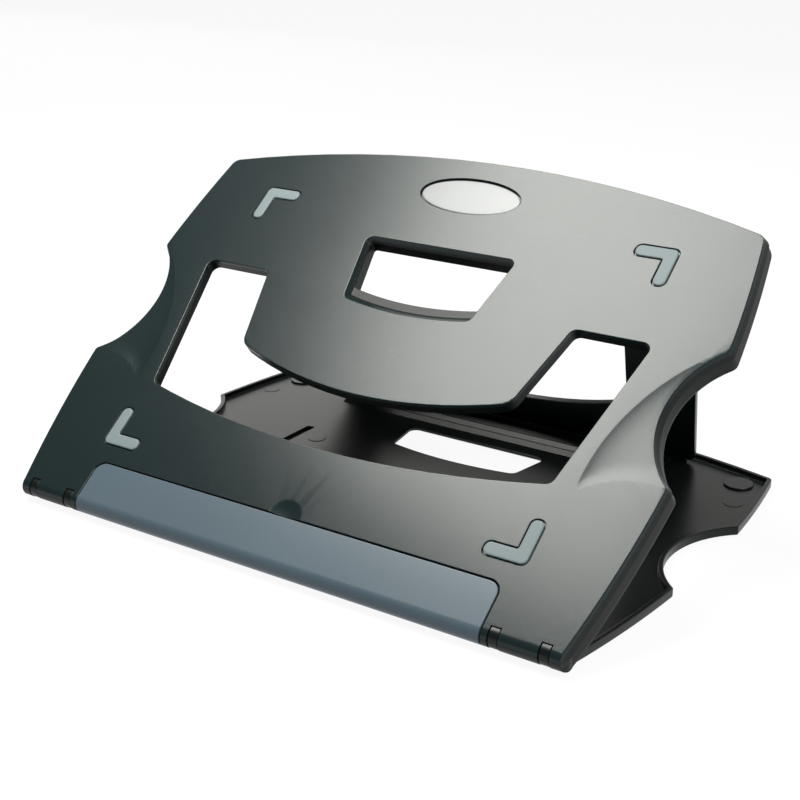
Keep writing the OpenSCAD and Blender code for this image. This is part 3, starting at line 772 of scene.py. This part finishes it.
flap_finish = moulded("slate_satin", flap_dark, flap_light, 0.36, 0.10)
dress(flap, flap_finish)
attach(flap, "flap")
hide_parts("stop_flap")

# ---------------------------------------------------------------- base tray
# The flat tray that stands on the table: black polymer, moulded with a low wall all round, a
# window, two narrow slots, four ratchet ribs for the prop's foot, bosses over the feet, faint marks
# of ejector pins and four hinge lugs.
on_base = hinge_axis @ Matrix.Scale(mm, 4)
tray_b = -6.3
floor_top = -4.5
tray_top = -1.8
tray_in = 1.5
tray_front = 7.0
hole_rings = [(0.35, floor_top), (0, floor_top - 0.3), (0, tray_b + 0.3), (0.35, tray_b)]
vent_plan = swept_window(86, 77, 182, 156, 4)
vent_x, vent_half, vent_front, vent_rear = 91, 2.1, 108, 150
foot_places = [(x, y) for x in (142.5, -142.5) for y in (28, 208)]
socket_r = 6.65
socket_deep = 1.2
boss_r = 7.7
boss_rings = [(0, -4.9), (0, -3.75), (-0.25, -3.5)]
mark_r = 5
mark_rings = [(0, -4.7), (0, -4.4), (-0.15, -4.3)]
mark_places = [(side * x, y) for x, y in ((149, 185), (77.7, 137.9)) for side in (1, -1)]
rib_half, rib_last, rib_pitch = 100, 218.7, 7.5
rib_corners = [(-6.5, -1), (0, -1), (0, 1.65), (-0.15, 1.8), (-0.9, 1.8), (-1.05, 1.7)]
rib_plan = [Vector(p) for p in rib_corners]
lug_r = 5.2
lug_from, lug_to = math.radians(-20), math.radians(245)
lug_back = 9.4


def tray_ring(inset, level):
    return deck_outline(-tray_in - inset, tray_front + inset), level


bm = bmesh.new()
tray_under, tray_floor = wall(bm, [tray_ring(i, t) for i, t in [
    (0.6, tray_b), (0.18, tray_b + 0.15), (0, tray_b + 0.55), (0, -2.3), (0.12, -1.95),
    (0.45, tray_top), (1.95, tray_top), (2.28, -1.95), (2.4, -2.3), (2.4, -4.1), (2.7, floor_top),
]])
slot_plans = [
    rounded([
        (Vector((x - vent_half, vent_front)), 1), (Vector((x + vent_half, vent_front)), 1),
        (Vector((x + vent_half, vent_rear)), 1), (Vector((x - vent_half, vent_rear)), 1),
    ])
    for x in (vent_x, -vent_x)
]
floor_holes, under_holes = [], []
for plan in (vent_plan, *slot_plans):
    top, low = wall(bm, stack(plan, hole_rings))
    floor_holes.append(top)
    under_holes.append(low)
for place in foot_places:
    socket = circle(Vector(place), socket_r, 40)
    low, high = wall(bm, [(socket, tray_b), (socket, tray_b + socket_deep)])
    fill(bm, high)
    under_holes.append(low)
fill(bm, tray_floor, floor_holes)
fill(bm, tray_under, under_holes)
for place in foot_places:
    boss = circle(Vector(place), boss_r, 48)
    slab(bm, stack(boss, boss_rings))
for place in mark_places:
    mark = circle(Vector(place), mark_r, 40)
    slab(bm, stack(mark, mark_rings))
for i in range(4):
    rib = moved(rib_plan, rib_last - rib_pitch * i, floor_top)
    bar(bm, rib, -rib_half, 2 * rib_half, 1)
lug = arc(Vector((0, 0)), lug_r, lug_from, lug_to, 32)
lug += [Vector((tray_front, tray_b)), Vector((lug_back, tray_b)), Vector((lug_back, tray_top))]
for x0 in lug_x:
    for side in (1, -1):
        bar(bm, lug, x0, lug_w, side)
tray = body_object("tray_moulding", bm, on_base)
tray_dark, tray_light = (0.002, 0.004, 0.004, 1), (0.005, 0.006, 0.006, 1)
tray_finish = moulded("black_polymer", tray_dark, tray_light, 0.32, 0.12, 0.22)
dress(tray, tray_finish)
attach(tray, "base")
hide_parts("base_tray")

# --------------------------------------------------------------- prop frame
# The U-shaped prop behind the deck: black polymer, two splayed legs and a cross bar, dipped on top.
# Its barrels turn on steel pins under the deck, and its rounded foot stands behind a ratchet rib.
prop_lean = math.atan2(prop_foot.x - pivot.x, pivot.y - prop_foot.y)
prop_turn = Matrix.Rotation(math.pi / 2 + prop_lean, 4, "X")
on_prop = on_base @ Matrix.Translation((0, *prop_foot)) @ prop_turn
bar_top = 39.5
bar_dip = 16.0
bar_in = leg_in - (prop_l - bar_top) * splay
prop_r = 5
bar_right, bar_left = Vector((bar_in, bar_top)), Vector((-bar_in, bar_top))
prop_plan = rounded([
    (Vector((-foot_half, 0)), prop_r), (Vector((foot_half, 0)), prop_r),
    (Vector((leg_out, prop_l)), 0), (Vector((leg_in, prop_l)), 0), (bar_right, prop_r),
    *[(p, 0) for p in bow(bar_right, bar_left, -bar_dip)],
    (bar_left, prop_r), (Vector((-leg_in, prop_l)), 0), (Vector((-leg_out, prop_l)), 0),
])
prop_rings = [(-0.7, -1.6), (-0.2, -1.45), (0, -1.0), (0, 1.0), (-0.2, 1.45), (-0.7, 1.6)]


def rod(start, end, radius, soft):
    """The profile of a turned rod with softened ends."""
    near = [(start, 0), (start, radius - soft), (start + soft, radius)]
    return near + [(end - soft, radius), (end, radius - soft), (end, 0)]


bm = bmesh.new()
slab(bm, stack(prop_plan, prop_rings))
spun(bm, rod(-107, 107, 1.6, 0.4), 24)
for side in (1, -1):
    at_top = Matrix.Translation((0, prop_l, 0)) @ Matrix.Diagonal((side, 1, 1, 1))
    spun(bm, rod(leg_in, leg_out, barrel_r, 0.3), 32, at_top)
prop = body_object("prop_moulding", bm, on_prop)
prop_dark, prop_light = (0.002, 0.005, 0.006, 1), (0.005, 0.009, 0.010, 1)
prop_finish = moulded("black_satin", prop_dark, prop_light, 0.34, 0.12, 0.5)
dress(prop, prop_finish)
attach(prop, "prop")
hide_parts("prop_frame")

# ----------------------------------------------------------- pins and feet
# Four drawn steel pins, pressed into the deck, and four black rubber discs pressed into the tray.
# The solids have the true shape of these, so they stay and only get their finish.
steel, shader, place = new_finish("drawn_steel")
stretch = place.node("ShaderNodeMapping", {}, {"Vector": place, "Scale": (40, 3000, 3000)})
lines = noise(stretch, scale=1, detail=2)
lines.tint((0.50, 0.51, 0.52, 1), (0.66, 0.67, 0.68, 1)).to(shader, "Base Color")
(0.22 + 0.16 * lines).to(shader, "Roughness")
shader.inputs["Metallic"].default_value = 1.0
foot_dark, foot_light = (0.012, 0.012, 0.012, 1), (0.022, 0.022, 0.022, 1)
foot_finish = moulded("black_rubber", foot_dark, foot_light, 0.75, 0.35)
for name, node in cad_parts.items():
    kept = steel if "_pin_" in name else foot_finish if name.startswith("rubber_foot") else None
    if kept:
        node.data.materials.clear()
        node.data.materials.append(kept)

# ------------------------------------------------------------------- studio
# A white light table at the table's level, its glow turned off under the tray's two slots as
# painted shade.
# A soft box overhead, two panels behind and one at the right light the riser, with a weak fill.
floor_half = 60
shade_y = 0.0117
shade_half_w = 0.014
shade_half_l = 0.028
bm = bmesh.new()
bmesh.ops.create_grid(bm, x_segments=1, y_segments=1, size=floor_half)
floor = body_object("studio_floor", bm)
floor_finish, shader, place = new_finish("white_paper")
paper = noise(place, scale=3, detail=2).tint((0.055, 0.055, 0.055, 1), (0.06, 0.06, 0.06, 1))
paper.to(shader, "Base Color")
shader.inputs["Roughness"].default_value = 0.9


def close_to(value, middle, reach):
    """1 where a value lies within a reach of a middle, else 0."""
    return value.node("ShaderNodeMath", {"operation": "COMPARE"}, {0: value, 1: middle, 2: reach})


across = place.node("ShaderNodeSeparateXYZ", {}, {"Vector": place}, "X")
along = place.node("ShaderNodeSeparateXYZ", {}, {"Vector": place}, "Y")
aside = across.maths("ABSOLUTE", across, 0)
# painted shade: the floor's glow is black in a patch under each slot
shaded = close_to(aside, vent_x * mm, shade_half_w) * close_to(along, shade_y, shade_half_l)
shaded.tint((1, 1, 1, 1), (0, 0, 0, 1)).to(shader, "Emission Color")
shader.inputs["Emission Strength"].default_value = 0.92
shader.inputs["Specular IOR Level"].default_value = 0.1
floor.data.materials.append(floor_finish)


def soft_box(name, width, depth, place, aim, turn, power):
    lamp = bpy.data.lights.new(name, "AREA")
    lamp.shape = "RECTANGLE"
    lamp.size = width
    lamp.size_y = depth
    lamp.energy = power
    lamp.color = (1.0, 1.0, 0.95)
    made = bpy.data.objects.new(name, lamp)
    made.location = place
    spin = Quaternion((0, 0, 1), math.radians(turn))
    facing = (Vector(aim) - Vector(place)).to_track_quat("-Z", "Y")
    made.rotation_euler = (facing @ spin).to_euler()
    bpy.context.scene.collection.objects.link(made)


soft_box("overhead_box", 0.50, 0.60, (-0.355, -0.05, 1.0), (-0.355, -0.05, 0), -17, 18.4)
soft_box("rear_panel", 3.1, 1.0, (0.45, 1.6, 0.75), (0.45, 0, 0.75), 0, 6.6)
soft_box("rear_left_panel", 1.5, 1.0, (-1.85, 1.6, 0.75), (-1.85, 0, 0.75), 0, 8.6)
soft_box("side_panel", 0.8, 0.8, (0.85, -0.2, 0.85), (0.1, 0, 0), 0, 12)
world = bpy.data.worlds.new("studio")
world.use_nodes = True
world.node_tree.nodes["Background"].inputs["Color"].default_value = (1, 1, 1, 1)
world.node_tree.nodes["Background"].inputs["Strength"].default_value = 0.2
bpy.context.scene.world = world
bpy.context.scene.view_settings.view_transform = "Standard"

lens = bpy.data.cameras.new("camera")
lens.lens = 64.58
lens.sensor_width = 36
lens.shift_x = -0.0395
lens.shift_y = 0.0335
camera = bpy.data.objects.new("camera", lens)
camera.location = (0.3842, -0.5609, 0.3058)
target = Vector((0.0174, -0.0073, 0.0397))
camera.rotation_euler = (target - camera.location).to_track_quat("-Z", "Y").to_euler()
bpy.context.scene.collection.objects.link(camera)
bpy.context.scene.camera = camera
